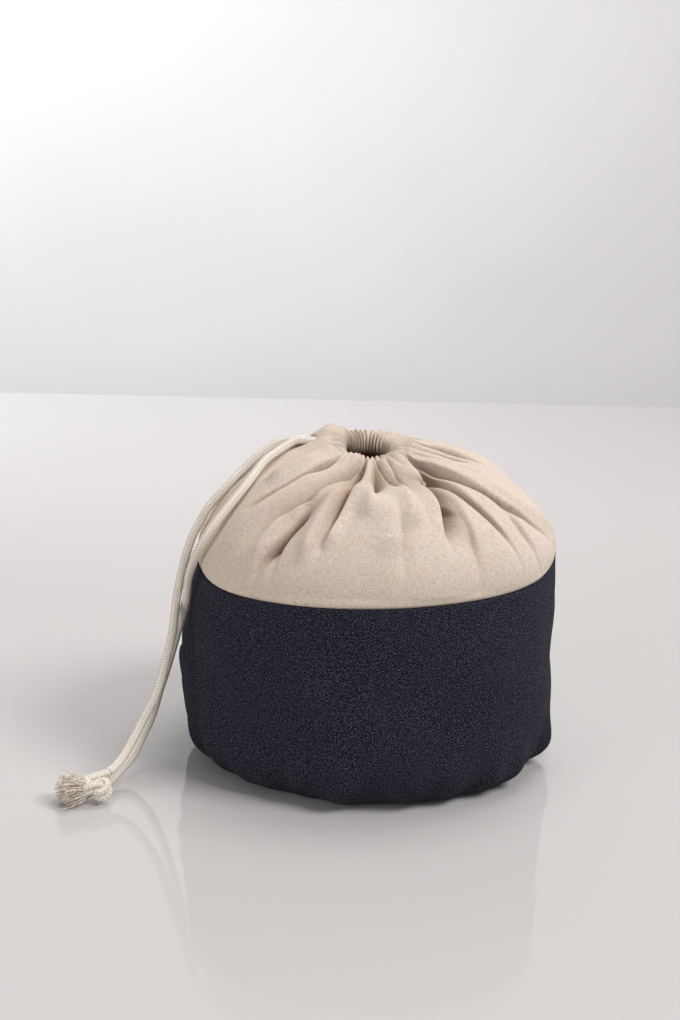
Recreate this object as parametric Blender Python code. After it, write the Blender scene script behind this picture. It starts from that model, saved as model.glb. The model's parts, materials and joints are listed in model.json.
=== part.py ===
"""Kinchaku drawstring pouch: a round denim body, a gathered canvas top and one cotton drawstring.

Metres, +Z up. The pouch stands on its round base at the origin and its front faces -Y. Its side
seams lie at +X and -X, and both ends of the drawstring leave the mouth on the left, towards -X.
"""

import math

import bmesh
import bpy
import numpy as np
from mathutils import Matrix, Vector

GAP = 0.0003  # air left between two pieces that touch

# Denim body
BODY_RADIUS = 0.0960  # outer face at the body's top edge
BODY_BELLY = 0.0009  # how far the wall swells below that edge
BODY_HEIGHT = 0.1032  # top edge of the denim at the front
BASE_RADIUS = 0.0760  # seam between the wall and the round base
CORNER_HEIGHT = 0.0230  # height in which the wall turns under to the base
DENIM_THICKNESS = 0.0012
EDGE_TILT = 0.0043  # the top edge is this much higher on the right than at the front
EDGE_PEAK = 0.0075  # the top edge rises to a point at each side seam
EDGE_PEAK_SPREAD = math.radians(22)
EDGE_PEAK_FADE = 0.0260  # height above the edge in which the peaks fade out of the canvas
SEAM_RIDGE = 0.0009  # the allowances make each side seam stand out
SEAM_RIDGE_SPREAD = math.radians(7)
PUCKER_DEPTH = 0.0011  # eased fullness above the base seam
WALL_WAVE = 0.0006

# The drawstring presses the left side of the pouch in
PRESS_DEPTH = 0.0040
PRESS_ANGLE = math.radians(188)
PRESS_SPREAD = math.radians(26)
PRESS_HEIGHT = 0.1130
PRESS_REACH = 0.0280

# Canvas top
CANVAS_THICKNESS = 0.0009
SEAM_CLEARANCE = 0.0005  # between the tucked canvas and the denim
SEAM_ALLOWANCE = 0.0080  # canvas tucked down inside the denim
STEP_HEIGHT = 0.0045  # height in which the canvas swells out over the denim's edge
SHOULDER_INSET = 0.0009  # the canvas's widest line lies this far inside the denim's edge
CANVAS_RISE = 0.0604  # from the denim's edge up to the rim of the mouth
DOME_OUTER_FULLNESS = 1.80
DOME_TOP_FULLNESS = 1.75

# Casing and mouth
CORD_DIAMETER = 0.0045
RING_RADIUS = 0.0165  # the drawstring's centre line in the drawn casing
CASING_RADIUS = 0.0046  # half the height of the casing round the cord
CASING_DEPTH = 0.0100  # how far outwards the casing's hem is stitched from the ring
HEM_CLEARANCE = 0.0027  # between the middles of the hem and the canvas above it
MOUTH_SHIFT = -0.0040  # the drawn mouth lies left of the middle
MOUTH_TILT = 0.0035  # and its back stands higher than its front

# The casing's end, pulled up beside the exit of the drawstring
FLAP_ANGLE = math.radians(160)
FLAP_SPREAD = math.radians(26)
FLAP_HEIGHT = 0.0060
FLAP_ROOM = 0.0016  # extra height over the cord
HEM_SAG = 0.0009  # and the hem below it rises this much less
FLAP_INNER = 0.0190
FLAP_OUTER = 0.0400

# Exit of the drawstring, through the canvas beside the left side seam
EXIT_ANGLE = math.radians(166)  # where it leaves the ring
EXIT_HEADING = math.radians(180)
EXIT_RUN = 0.0118  # from the ring to where both strands come out
EXIT_HALF_WIDTH = 0.0086
EXIT_HALF_HEIGHT = 0.0036
EXIT_CUT_START = -0.0005
EXIT_CUT_END = 0.0250
STRAND_OFFSET = 0.0026  # half the spacing of the two strands in the exit
RUN_TURN_IN = math.radians(20)  # the cord leaves the ring this far before the exit
RUN_STRAIGHT = (0.0, 0.0035, 0.0070)

# Gathers
PLEATS = 30  # small pleats round the drawn casing
PLEAT_DEPTH = 0.0011
PLEAT_REACH = 0.0360
CREASE_LOBE = 0.40  # share of a crease's depth that rounds the cloth beside it
LOBE_WIDTH = 3.0
LOBE_RISE = 0.0024  # the cloth between the creases stands out by this much
LOBE_END = 0.0900  # radius where that ends

# Each crease: its angle near the mouth, half way and at the body in degrees, then the radii
# where it begins and ends, its depth and its half width in millimetres
CREASES = (
    (-166, -167, -168, 22, 66, 2.6, 2.6),
    (-143, -146, -158, 22, 84, 5.4, 3.0),
    (-127, -118, -116, 20, 40, 3.0, 2.4),
    (-108, -123, -137, 22, 95, 6.0, 3.0),
    (-117, -118, -127, 54, 94, 2.8, 2.2),
    (-92, -100, -104, 24, 86, 7.2, 3.8),
    (-80, -85, -86, 20, 72, 6.2, 3.0),
    (-65, -72, -75, 20, 52, 4.2, 2.6),
    (-46, -58, -64, 22, 86, 7.6, 3.6),
    (-33, -34, -37, 50, 95, 3.0, 2.2),
    (-31, -27, -9, 22, 94, 6.0, 2.8),
    (-8, -6, 2, 20, 60, 3.6, 2.6),
    (11, 13, 15, 22, 84, 5.6, 3.2),
    (29, 33, 40, 22, 70, 4.6, 2.8),
    (46, 50, 52, 22, 92, 6.4, 3.4),
    (64, 67, 68, 20, 56, 4.0, 2.6),
    (80, 84, 90, 22, 88, 6.6, 3.4),
    (98, 101, 103, 22, 74, 4.8, 2.8),
    (114, 119, 127, 22, 94, 6.0, 3.2),
    (131, 136, 140, 22, 62, 3.8, 2.6),
    (150, 150, 152, 42, 88, 4.8, 3.2),
)

# Free strands of the drawstring, from the exit to the knot that lies on the floor
STRAND_OUT = 0.0096  # straight run out of the exit
OUTER_ROUTE = (
    (-0.0462, 0.0070, 0.1648),
    (-0.0524, 0.0070, 0.1626),
    (-0.0615, 0.0052, 0.1562),
    (-0.0691, 0.0030, 0.1489),
    (-0.0776, -0.0020, 0.1400),
    (-0.0856, -0.0048, 0.1308),
    (-0.0904, -0.0068, 0.1222),
    (-0.0940, -0.0100, 0.1150),
    (-0.0970, -0.0150, 0.1045),
    (-0.0986, -0.0205, 0.0960),
    (-0.0998, -0.0288, 0.0860),
    (-0.1003, -0.0405, 0.0720),
    (-0.1042, -0.0478, 0.0566),
    (-0.1077, -0.0538, 0.0443),
    (-0.1143, -0.0590, 0.0321),
    (-0.1184, -0.0648, 0.0242),
    (-0.1216, -0.0715, 0.0172),
    (-0.1248, -0.0780, 0.0136),
    (-0.1264, -0.0826, 0.0131),
)
INNER_ROUTE = (
    (-0.0460, -0.0012, 0.1638),
    (-0.0515, -0.0062, 0.1606),
    (-0.0575, -0.0130, 0.1566),
    (-0.0660, -0.0265, 0.1462),
    (-0.0764, -0.0350, 0.1333),
    (-0.0825, -0.0385, 0.1250),
    (-0.0868, -0.0390, 0.1175),
    (-0.0905, -0.0370, 0.1090),
    (-0.0933, -0.0330, 0.0990),
    (-0.0948, -0.0288, 0.0860),
    (-0.0973, -0.0270, 0.0743),
    (-0.1022, -0.0282, 0.0520),
    (-0.1058, -0.0330, 0.0383),
    (-0.1083, -0.0398, 0.0271),
    (-0.1126, -0.0460, 0.0173),
    (-0.1155, -0.0520, 0.0108),
    (-0.1212, -0.0590, 0.0062),
    (-0.1243, -0.0670, 0.0042),
    (-0.1255, -0.0745, 0.0046),
    (-0.1268, -0.0820, 0.0058),
)
KNOT_CENTRE = Vector((-0.1300, -0.0895, 0.0076))
KNOT_HEADING = math.radians(198)  # from the strands towards the frayed ends
KNOT_LENGTH = 0.0190
KNOT_WIDTH = 0.0150
KNOT_HEIGHT = 0.0148
KNOT_TURNS = 3
KNOT_GROOVE = 0.09
ENDS_LENGTH = 0.0130
ENDS_NECK_RADIUS = 0.0044
ENDS_FLARE_RADIUS = 0.0074
ENDS_TUFTS = 9

# Fineness of the meshes
CANVAS_COLUMNS = 60
DENIM_COLUMNS = 36
BASE_SIDES = 72
DOME_ROWS = 11
CASING_ROWS = 6
HEM_ROWS = 3
CORNER_ROWS = 4
WALL_ROWS = 5
RING_STEPS = 26
CORD_SIDES_RESOLUTION = 2

# What follows from the sizes above
RIM_HEIGHT = BODY_HEIGHT + CANVAS_RISE
RING_HEIGHT = RIM_HEIGHT - CASING_RADIUS
SHOULDER_RADIUS = BODY_RADIUS - SHOULDER_INSET
TUCK_RADIUS = BODY_RADIUS - DENIM_THICKNESS - SEAM_CLEARANCE - CANVAS_THICKNESS / 2


def smooth_step(low, high, value):
    """0 below low, 1 above high and a smooth rise between them."""
    share = min(1.0, max(0.0, (value - low) / (high - low)))
    return share * share * (3.0 - 2.0 * share)


def turn_between(angle, other):
    """The signed angle from other to angle, the short way round."""
    return (angle - other + math.pi) % (2.0 * math.pi) - math.pi


def bell(distance, spread):
    return math.exp(-((distance / spread) ** 2))


def edge_peak(angle):
    """Rise of the denim's top edge towards the side seams."""
    peaks = sum(bell(turn_between(angle, side), EDGE_PEAK_SPREAD) for side in (0, math.pi))
    return EDGE_PEAK * peaks


def edge_rise(angle):
    """How much higher the denim's top edge is at this angle than at the front."""
    return EDGE_TILT * math.cos(angle) + edge_peak(angle)


def pressed(angle, height):
    """How far the drawstring presses the cloth in at this place."""
    across = bell(turn_between(angle, PRESS_ANGLE), PRESS_SPREAD)
    return PRESS_DEPTH * across * bell(height - PRESS_HEIGHT, PRESS_REACH)


def drawn(radius):
    """0 at the body, 1 at the drawn casing: how far the cloth follows the mouth."""
    return 1.0 - smooth_step(RING_RADIUS, BODY_RADIUS, radius)


def flap(angle, radius):
    """Lift of the casing beside the exit."""
    reach = 1.0 - smooth_step(FLAP_INNER, FLAP_OUTER, radius)
    return bell(turn_between(angle, FLAP_ANGLE), FLAP_SPREAD) * reach


def place_top(angle, radius, height, room=0.0):
    """A point of the drawn top, given as if the mouth were round, level and central."""
    follow = drawn(radius)
    radius -= pressed(angle, height) * (1.0 - follow)
    lift = (FLAP_HEIGHT + room) * flap(angle, radius)
    lift += MOUTH_TILT * math.sin(angle) * follow
    lift += EDGE_TILT * math.cos(angle) * (1.0 - follow)
    lift += edge_peak(angle) * (1.0 - smooth_step(BODY_HEIGHT, BODY_HEIGHT + EDGE_PEAK_FADE, height))
    return Vector(
        (
            radius * math.cos(angle) + MOUTH_SHIFT * follow,
            radius * math.sin(angle),
            height + lift,
        )
    )


def pleat(angle):
    """Small pleats of the casing, a little uneven, between -1 and 1."""
    drift = 1.1 * math.sin(3 * angle + 0.6) + 0.7 * math.sin(5 * angle + 2.1)
    return math.cos(PLEATS * angle + drift)


def crease_angle(crease, radius):
    """The crease's direction at this radius, on a curve through its three angles."""
    near, middle, far = (math.radians(value) for value in crease[:3])
    share = (radius - RING_RADIUS) / (BODY_RADIUS - RING_RADIUS)
    return (
        near * (1 - share) * (1 - 2 * share)
        + 4 * middle * share * (1 - share)
        + far * share * (2 * share - 1)
    )


def creases(angle, radius):
    """Depth of all creases at this place, a positive number."""
    depth = 0.0
    for crease in CREASES:
        begin, end, deepest, half_width = (value / 1000 for value in crease[3:])
        rise = smooth_step(begin - 0.004, begin + 0.008, radius)
        fade = 1.0 - smooth_step(end - 0.45 * (end - begin), end, radius)
        if rise * fade <= 0.0:
            continue
        across = radius * turn_between(angle, crease_angle(crease, radius))
        sharp = math.exp(-(abs(across / half_width) ** 1.5))
        broad = bell(across, LOBE_WIDTH * half_width)
        depth += deepest * rise * fade * ((1 - CREASE_LOBE) * sharp + CREASE_LOBE * broad)
    return depth


def gathers(angle, radius):
    """How far the cloth stands out of its smooth dome at this place."""
    fade = 1.0 - smooth_step(RING_RADIUS, PLEAT_REACH, radius)
    clear_of_cord = smooth_step(RING_RADIUS + 0.002, RING_RADIUS + 0.014, radius)
    rise = LOBE_RISE * (1.0 - smooth_step(PLEAT_REACH, LOBE_END, radius))
    return PLEAT_DEPTH * pleat(angle) * fade + clear_of_cord * (rise - creases(angle, radius))


def with_normals(points):
    """Section points with the unit vector on their right-hand side, seen along the section."""
    run = np.gradient(np.array(points), axis=0)
    run /= np.linalg.norm(run, axis=1)[:, None]
    return [(radius, height, along[1], -along[0]) for (radius, height), along in zip(points, run)]


def denim_section():
    """Outer face of the wall, from the base seam up to the top edge."""
    widest = BODY_RADIUS + BODY_BELLY
    points = []
    for row in range(CORNER_ROWS + 1):
        turn = math.pi / 2 * row / CORNER_ROWS
        radius = BASE_RADIUS + (widest - BASE_RADIUS) * math.sin(turn)
        points.append((radius, CORNER_HEIGHT * (1 - math.cos(turn))))
    for row in range(1, WALL_ROWS + 1):
        share = row / WALL_ROWS
        height = CORNER_HEIGHT + (BODY_HEIGHT - CORNER_HEIGHT) * share
        points.append((widest - BODY_BELLY * share**2, height))
    section = with_normals(points)
    section[0] = (BASE_RADIUS, 0.0, 0.0, -1.0)
    section[-1] = (BODY_RADIUS, BODY_HEIGHT, 1.0, 0.0)
    return section


def canvas_section():
    """Middle of the canvas: tuck, shoulder, dome, casing and hem, with the share of the gathers.

    Each entry is radius, height, the outward normal and how far the gathers move it along that
    normal.
    """
    points = []
    weights = []
    for height in (BODY_HEIGHT - SEAM_ALLOWANCE, BODY_HEIGHT):
        points.append((TUCK_RADIUS, height))
        weights.append(0.0)
    swell = SHOULDER_RADIUS - TUCK_RADIUS
    points.append((TUCK_RADIUS + swell / 2, BODY_HEIGHT + STEP_HEIGHT / 2))
    weights.append(0.0)
    shoulder = BODY_HEIGHT + STEP_HEIGHT
    for row in range(DOME_ROWS + 1):
        turn = math.pi / 2 * row / DOME_ROWS
        across = math.cos(turn) ** (2 / DOME_OUTER_FULLNESS)
        up = math.sin(turn) ** (2 / DOME_TOP_FULLNESS)
        radius = RING_RADIUS + (SHOULDER_RADIUS - RING_RADIUS) * across
        points.append((radius, shoulder + (RIM_HEIGHT - shoulder) * up))
        weights.append(1.0)
    for row in range(1, CASING_ROWS + 1):
        turn = math.pi / 2 + math.pi * row / CASING_ROWS
        radius = RING_RADIUS + CASING_RADIUS * math.cos(turn)
        points.append((radius, RING_HEIGHT + CASING_RADIUS * math.sin(turn)))
        weights.append(1.0 - smooth_step(0.5, 1.0, row / CASING_ROWS))
    hem_bottom = RING_HEIGHT - CASING_RADIUS
    hem_top = dome_height(RING_RADIUS + CASING_DEPTH) - HEM_CLEARANCE
    for row in range(1, HEM_ROWS + 1):
        share = row / HEM_ROWS
        radius = RING_RADIUS + CASING_DEPTH * share
        height = hem_bottom + (hem_top - hem_bottom) * smooth_step(0, 1, share)
        points.append((radius, height))
        weights.append(-smooth_step(0, 1, share))
    return [(*entry, weight) for entry, weight in zip(with_normals(points), weights)]


def dome_height(radius):
    """Height of the smooth dome at this radius."""
    shoulder = BODY_HEIGHT + STEP_HEIGHT
    across = (radius - RING_RADIUS) / (SHOULDER_RADIUS - RING_RADIUS)
    up = (1 - across**DOME_OUTER_FULLNESS) ** (1 / DOME_TOP_FULLNESS)
    return shoulder + (RIM_HEIGHT - shoulder) * up


def denim_point(entry, angle, side):
    """A point of the denim wall. side is 0 on its outer face and 1 on its inner face."""
    radius, height, out, up = entry
    share = height / BODY_HEIGHT
    waist = math.sin(math.pi * share) ** 2
    ridge = sum(bell(turn_between(angle, seam), SEAM_RIDGE_SPREAD) for seam in (0, math.pi))
    wave = WALL_WAVE * (math.sin(5 * angle + 9 * share) + math.sin(3 * angle - 4 * share))
    low = bell(height - CORNER_HEIGHT / 2, CORNER_HEIGHT / 2) * min(1.0, height / 0.003)
    pucker = PUCKER_DEPTH * math.sin(14 * angle + 1.5 * math.sin(4 * angle)) * low
    radius += waist * (wave + SEAM_RIDGE * ridge) + pucker - side * DENIM_THICKNESS * out
    radius -= pressed(angle, height)
    height -= side * DENIM_THICKNESS * up
    height *= 1.0 + edge_rise(angle) / BODY_HEIGHT * smooth_step(0, BODY_HEIGHT, height)
    return Vector((radius * math.cos(angle), radius * math.sin(angle), height))


def canvas_point(entry, angle, side):
    """A point of the canvas. side is 0 on its outer face and 1 on its inner face."""
    radius, height, out, up, weight = entry
    offset = weight * gathers(angle, max(radius, RING_RADIUS))
    offset += CANVAS_THICKNESS * (0.5 - side)
    room = FLAP_ROOM if height > RING_HEIGHT else -HEM_SAG
    moved = radius + offset * out
    return place_top(angle, moved, height + offset * up, room)


def panel(name, section, point, columns, front, material):
    """Half of a round wall, from one side seam to the other, as a closed sheet of cloth."""
    rows = len(section) - 1
    bm = bmesh.new()
    bmesh.ops.create_grid(bm, x_segments=columns, y_segments=rows, size=0.5)
    grown = bmesh.ops.extrude_face_region(bm, geom=list(bm.faces))
    outside = {item for item in grown["geom"] if isinstance(item, bmesh.types.BMVert)}
    start = -math.pi if front else 0.0
    aside = Vector((0.0, -GAP / 2 if front else GAP / 2, 0.0))
    for vert in bm.verts:
        angle = start + math.pi * round((vert.co.x + 0.5) * columns) / columns
        entry = section[round((vert.co.y + 0.5) * rows)]
        vert.co = point(entry, angle, 0 if vert in outside else 1) + aside
    bmesh.ops.recalc_face_normals(bm, faces=bm.faces)
    return add_mesh(name, bm, material)


def add_mesh(name, bm, material):
    """Puts a finished bmesh into the scene as one named object."""
    mesh = bpy.data.meshes.new(name)
    bm.to_mesh(mesh)
    bm.free()
    mesh.shade_smooth()
    mesh.set_sharp_from_angle(angle=math.radians(50))
    mesh.materials.append(material)
    obj = bpy.data.objects.new(name, mesh)
    bpy.context.scene.collection.objects.link(obj)
    return obj


def cloth(name, colour, roughness):
    """A plain fabric finish."""
    material = bpy.data.materials.new(name)
    material.use_nodes = True
    shader = material.node_tree.nodes["Principled BSDF"]
    shader.inputs["Base Color"].default_value = (*colour, 1.0)
    shader.inputs["Roughness"].default_value = roughness
    shader.inputs["Metallic"].default_value = 0.0
    return material


def base_disc(material):
    """The round base, sewn inside the wall's lower edge."""
    bm = bmesh.new()
    bmesh.ops.create_cone(
        bm,
        cap_ends=True,
        segments=BASE_SIDES,
        radius1=BASE_RADIUS - GAP,
        radius2=BASE_RADIUS - GAP,
        depth=DENIM_THICKNESS,
    )
    bmesh.ops.translate(bm, verts=bm.verts, vec=(0, 0, DENIM_THICKNESS / 2))
    return add_mesh("denim_base", bm, material)


def exit_frame():
    """Where the exit starts on the ring, and the ways out and across."""
    out = Vector((math.cos(EXIT_HEADING), math.sin(EXIT_HEADING), 0.0))
    across = Vector((-out.y, out.x, 0.0))
    return place_top(EXIT_ANGLE, RING_RADIUS, RING_HEIGHT), out, across


def exit_point(out_by, across_by):
    start, out, across = exit_frame()
    return start + out * out_by + across * across_by


def exit_cutter(material):
    """The slot in the casing that both strands come out of."""
    start, out, across = exit_frame()
    bm = bmesh.new()
    length = EXIT_CUT_END - EXIT_CUT_START
    bmesh.ops.create_cone(bm, cap_ends=True, segments=24, radius1=1, radius2=1, depth=length)
    squash = Matrix.Diagonal((EXIT_HALF_HEIGHT, EXIT_HALF_WIDTH, 1.0, 1.0))
    turn = Matrix((-Vector((0, 0, 1)), across, out)).transposed().to_4x4()
    place = Matrix.Translation(start + out * (EXIT_CUT_START + length / 2))
    bmesh.ops.transform(bm, matrix=place @ turn @ squash, verts=bm.verts)
    bmesh.ops.recalc_face_normals(bm, faces=bm.faces)
    cutter = add_mesh("exit_cutter", bm, material)
    cutter.hide_render = True
    cutter.display_type = "WIRE"
    return cutter


def cut(obj, cutter):
    """Takes the cutter's shape out of the object."""
    slot = obj.modifiers.new("exit", "BOOLEAN")
    slot.operation = "DIFFERENCE"
    slot.solver = "EXACT"
    slot.object = cutter


def smooth_path(points, spacing):
    """Points at an even spacing on a smooth curve through the given ones."""
    knots = [Vector(point) for point in points]
    knots = [2 * knots[0] - knots[1], *knots, 2 * knots[-1] - knots[-2]]
    fine = []
    for before, start, end, after in zip(knots, knots[1:], knots[2:], knots[3:]):
        for step in range(16):
            t = step / 16
            fine.append(
                0.5
                * (
                    2 * start
                    + (end - before) * t
                    + (2 * before - 5 * start + 4 * end - after) * t**2
                    + (3 * start - before - 3 * end + after) * t**3
                )
            )
    fine.append(knots[-2])
    lengths = np.array([(b - a).length for a, b in zip(fine, fine[1:])])
    along = np.concatenate(([0.0], np.cumsum(lengths)))
    count = max(2, round(along[-1] / spacing) + 1)
    places = np.linspace(0.0, along[-1], count)
    axes = np.array([list(point) for point in fine]).T
    return [Vector(point) for point in zip(*(np.interp(places, along, axis) for axis in axes))]


def cord(name, points, material):
    """A round cord along the points."""
    curve = bpy.data.curves.new(name, "CURVE")
    curve.dimensions = "3D"
    curve.bevel_depth = CORD_DIAMETER / 2
    curve.bevel_resolution = CORD_SIDES_RESOLUTION
    curve.use_fill_caps = True
    spline = curve.splines.new("POLY")
    spline.points.add(len(points) - 1)
    for target, point in zip(spline.points, points):
        target.co = (*point, 1.0)
    curve.materials.append(material)
    obj = bpy.data.objects.new(name, curve)
    bpy.context.scene.collection.objects.link(obj)
    return obj


def casing_run(material):
    """The drawstring inside the casing: once round the mouth, both ends turned to the exit."""
    points = [exit_point(EXIT_RUN - back, STRAND_OFFSET) for back in RUN_STRAIGHT]
    for step in range(RING_STEPS + 1):
        share = step / RING_STEPS
        angle = EXIT_ANGLE + RUN_TURN_IN + 2 * (math.pi - RUN_TURN_IN) * share
        points.append(place_top(angle, RING_RADIUS, RING_HEIGHT))
    points.extend(exit_point(EXIT_RUN - back, -STRAND_OFFSET) for back in reversed(RUN_STRAIGHT))
    return cord("drawstring_casing_run", smooth_path(points, 0.8 * CORD_DIAMETER), material)


def strand(name, side, route, material):
    """A free strand from the exit to the knot. side is the strand's place across the exit."""
    points = [exit_point(EXIT_RUN + GAP + STRAND_OUT * share, side) for share in (0.0, 0.5, 1.0)]
    points.extend(route)
    return cord(name, smooth_path(points, 2.0 * CORD_DIAMETER), material)


def knot_place():
    """Turns +X to the knot's heading and moves the origin to its centre."""
    return Matrix.Translation(KNOT_CENTRE) @ Matrix.Rotation(KNOT_HEADING, 4, "Z")


def knot(material):
    """The overhand knot that ties both strands, as one closed lump with its wraps."""
    bm = bmesh.new()
    bmesh.ops.create_uvsphere(bm, u_segments=20, v_segments=14, radius=0.5)
    for vert in bm.verts:
        across = math.atan2(vert.co.y, vert.co.z)
        wraps = math.cos(2 * math.pi * KNOT_TURNS * vert.co.x + across)
        swell = 1.0 + KNOT_GROOVE * (wraps - 1.0)
        vert.co = (
            vert.co.x * KNOT_LENGTH,
            vert.co.y * KNOT_WIDTH * swell,
            vert.co.z * KNOT_HEIGHT * swell,
        )
    bmesh.ops.transform(bm, matrix=knot_place(), verts=bm.verts)
    return add_mesh("drawstring_knot", bm, material)


def frayed_ends(material):
    """The two frayed cord ends behind the knot, as one flared brush."""
    bm = bmesh.new()
    sides = 2 * ENDS_TUFTS
    bmesh.ops.create_cone(
        bm, cap_ends=True, segments=sides, radius1=ENDS_NECK_RADIUS, radius2=ENDS_FLARE_RADIUS, depth=1
    )
    for vert in bm.verts:
        turn = math.atan2(vert.co.y, vert.co.x)
        tuft = 0.5 + 0.5 * math.cos(ENDS_TUFTS * turn)
        tip = vert.co.z > 0
        share = 1.0 - 0.22 * (1.0 - tuft) if tip else 0.0
        lean = -0.0006 if tip else 0.0
        vert.co = (
            KNOT_LENGTH / 2 + GAP + ENDS_LENGTH * share,
            vert.co.y * (0.86 + 0.14 * tuft if tip else 1.0),
            -vert.co.x * (0.86 + 0.14 * tuft if tip else 1.0) + lean,
        )
    bmesh.ops.transform(bm, matrix=knot_place(), verts=bm.verts)
    bmesh.ops.recalc_face_normals(bm, faces=bm.faces)
    return add_mesh("drawstring_frayed_ends", bm, material)


def main():
    for obj in list(bpy.data.objects):
        bpy.data.objects.remove(obj)
    denim = cloth("denim", (0.024, 0.028, 0.045), 0.9)
    canvas = cloth("canvas", (0.70, 0.62, 0.51), 0.95)
    cotton = cloth("cotton_cord", (0.76, 0.70, 0.60), 0.9)
    base_disc(denim)
    wall = denim_section()
    panel("denim_front_panel", wall, denim_point, DENIM_COLUMNS, True, denim)
    panel("denim_back_panel", wall, denim_point, DENIM_COLUMNS, False, denim)
    top = canvas_section()
    cutter = exit_cutter(canvas)
    cut(panel("canvas_front_panel", top, canvas_point, CANVAS_COLUMNS, True, canvas), cutter)
    cut(panel("canvas_back_panel", top, canvas_point, CANVAS_COLUMNS, False, canvas), cutter)
    casing_run(cotton)
    strand("drawstring_inner_strand", STRAND_OFFSET, INNER_ROUTE, cotton)
    strand("drawstring_outer_strand", -STRAND_OFFSET, OUTER_ROUTE, cotton)
    knot(cotton)
    frayed_ends(cotton)


main()
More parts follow.
